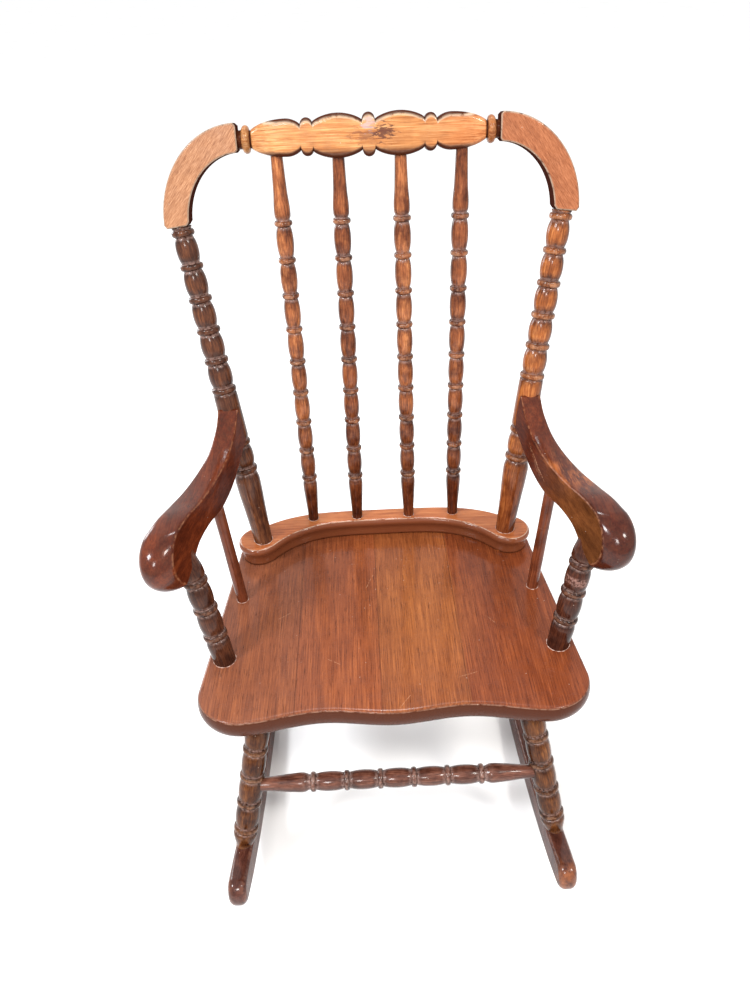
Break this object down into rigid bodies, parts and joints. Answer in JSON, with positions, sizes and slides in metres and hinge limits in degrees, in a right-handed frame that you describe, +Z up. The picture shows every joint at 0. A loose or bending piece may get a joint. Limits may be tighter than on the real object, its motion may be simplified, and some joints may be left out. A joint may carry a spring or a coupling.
{
  "type": "rocking chair",
  "caption": "Child's wooden rocking chair: turned posts, spindles and legs, scalloped crest rail with curved corners, scroll arms, shaped seat and bent rockers.",
  "frame": {"origin": "centre of the footprint, on the floor", "axes": "+Z up, -Y towards the sitter's front, +X to the right seen from the front"},
  "size_m": [0.4602, 0.5852, 0.705],
  "materials": {
    "seat_wood": "glossy dark varnish over stained hardwood, worn along the edges",
    "block_wood": "glossy dark varnish over stained hardwood, worn along the edges",
    "post_wood": "glossy dark varnish over stained hardwood, worn along the edges",
    "spindle_wood": "glossy dark varnish over stained hardwood, worn along the edges",
    "crest_wood": "glossy honey-orange varnish, darker along the edges",
    "corner_wood": "glossy orange-brown varnish, darker along the edges",
    "arm_wood": "glossy dark varnish over stained hardwood, worn along the edges",
    "arm_post_wood": "glossy dark varnish over stained hardwood, worn along the edges",
    "dowel_wood": "glossy dark varnish over stained hardwood, worn along the edges",
    "leg_wood": "glossy dark varnish over stained hardwood, worn along the edges",
    "stretcher_wood": "glossy dark varnish over stained hardwood, worn along the edges",
    "rocker_wood": "glossy dark varnish over stained hardwood, worn along the edges",
    "plug_wood": "glossy dark varnish over stained hardwood, worn along the edges",
    "screw_steel": "plain steel wood screw"
  },
  "bodies": {
    "root": {"seat": "seat_wood", "back_block": "block_wood", "back_post_left": "post_wood", "back_post_right": "post_wood", "back_spindle_1": "spindle_wood", "back_spindle_2": "spindle_wood", "back_spindle_3": "spindle_wood", "back_spindle_4": "spindle_wood", "crest_rail": "crest_wood", "crest_corner_left": "corner_wood", "crest_corner_right": "corner_wood", "arm_left": "arm_wood", "arm_right": "arm_wood", "arm_post_left": "arm_post_wood", "arm_post_right": "arm_post_wood", "arm_dowel_left": "dowel_wood", "arm_dowel_right": "dowel_wood", "front_leg_left": "leg_wood", "rear_leg_left": "leg_wood", "front_leg_right": "leg_wood", "rear_leg_right": "leg_wood", "front_stretcher": "stretcher_wood", "rear_stretcher": "stretcher_wood", "rocker_left": "rocker_wood", "rocker_right": "rocker_wood", "arm_plug_left": "plug_wood", "arm_plug_right": "plug_wood", "arm_screw_left": "screw_steel", "arm_screw_right": "screw_steel", "block_screw_left": "screw_steel", "block_screw_middle": "screw_steel", "block_screw_right": "screw_steel", "front_rocker_screw_left": "screw_steel", "rear_rocker_screw_left": "screw_steel", "front_rocker_screw_right": "screw_steel", "rear_rocker_screw_right": "screw_steel"}
  },
  "joints": []
}
